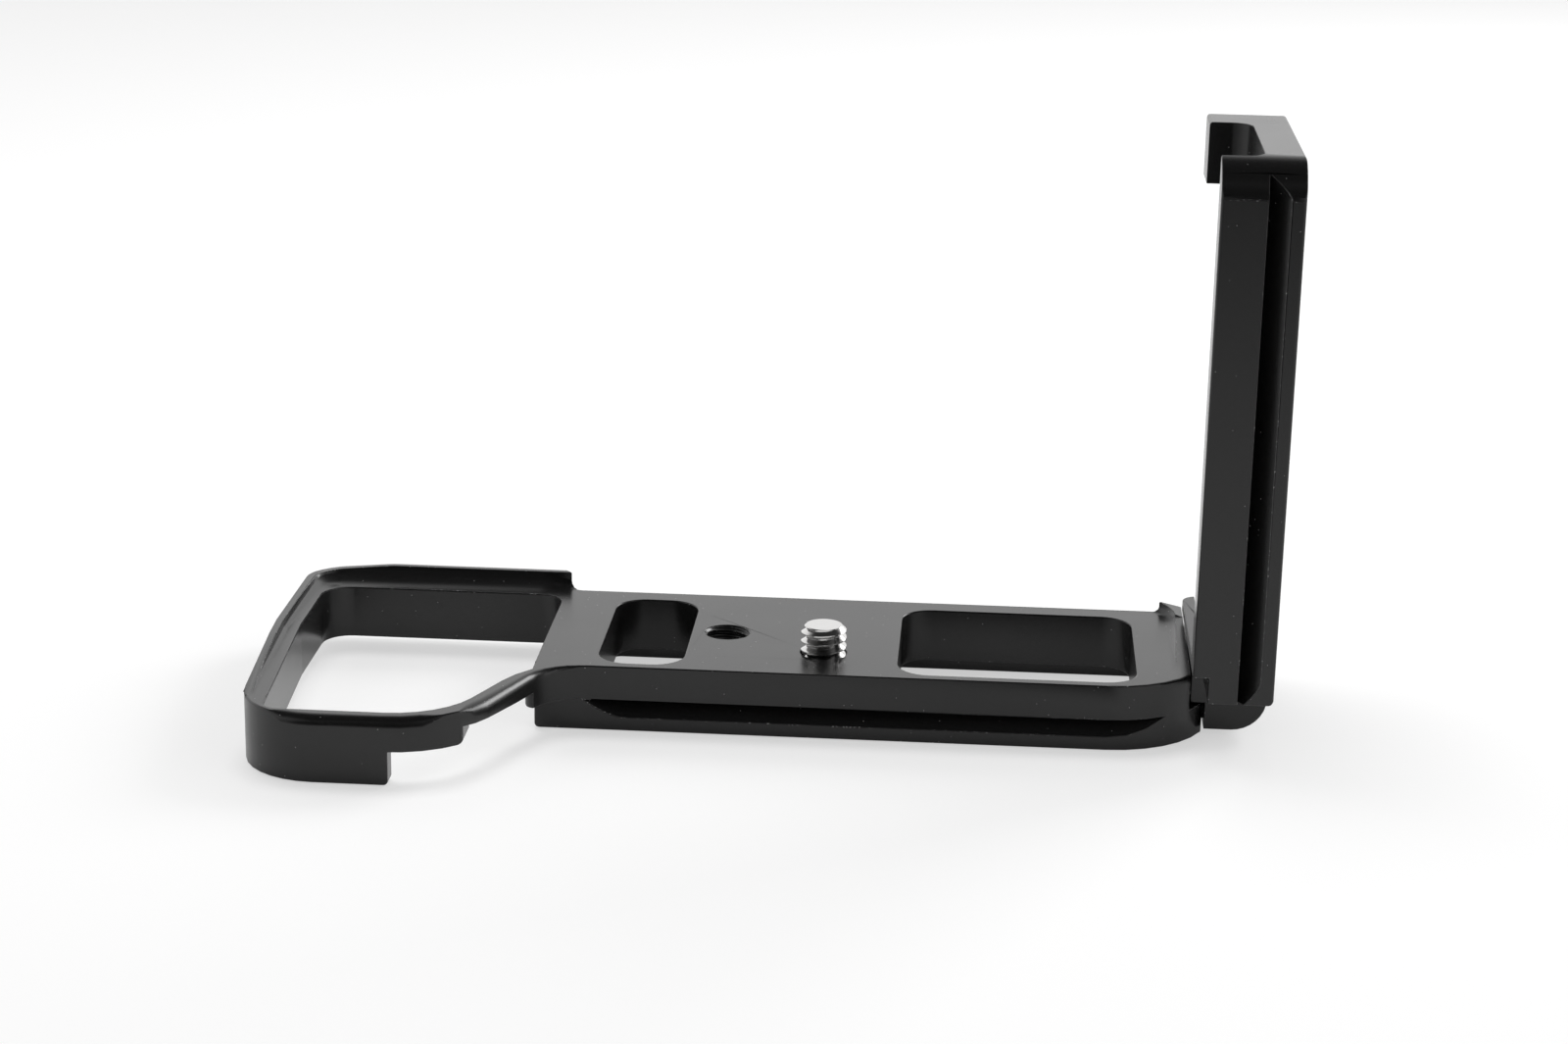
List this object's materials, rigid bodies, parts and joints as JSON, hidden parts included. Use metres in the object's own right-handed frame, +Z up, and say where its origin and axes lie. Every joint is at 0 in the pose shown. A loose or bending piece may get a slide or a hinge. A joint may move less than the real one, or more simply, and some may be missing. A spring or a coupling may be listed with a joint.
{
  "type": "camera L-bracket",
  "caption": "Low L-shaped camera bracket with a dovetail base, an open battery-door frame, a captive camera screw and an upright dovetail side plate that slides outwards.",
  "frame": {"origin": "under the middle of the deck's depth, on the plane that the bracket stands on, 0.4 mm to the left of the camera screw's axis", "axes": "+X towards the side plate, +Y from the lens side to the display side, +Z up along the camera screw"},
  "size_m": [0.1395, 0.0626, 0.0821],
  "materials": {
    "black_anodised_aluminium": "satin",
    "stainless_steel": "polished",
    "spring_steel": "satin"
  },
  "bodies": {
    "base": {"base_plate": "black_anodised_aluminium", "snap_ring": "spring_steel", "clamp_washer_front": "stainless_steel", "clamp_washer_rear": "stainless_steel"},
    "side": {"side_plate": "black_anodised_aluminium"},
    "screw": {"camera_screw": "stainless_steel"},
    "clamp_front": {"clamp_screw_front": "stainless_steel"},
    "clamp_rear": {"clamp_screw_rear": "stainless_steel"}
  },
  "joints": [
    {"name": "side_slide", "type": "slide", "parent": "base", "child": "side", "axis": [1, 0, 0], "range_m": [0, 0.003]},
    {"name": "screw_turn", "type": "hinge", "parent": "base", "child": "screw", "pos_m": [0.0004, -0.0072, 0], "axis": [0, 0, 1], "continuous": true},
    {"name": "clamp_front_turn", "type": "hinge", "parent": "base", "child": "clamp_front", "pos_m": [0.04825, -0.001, 0], "axis": [0, 0, 1], "continuous": true},
    {"name": "clamp_rear_turn", "type": "hinge", "parent": "base", "child": "clamp_rear", "pos_m": [0.04825, 0.007, 0], "axis": [0, 0, 1], "continuous": true}
  ]
}
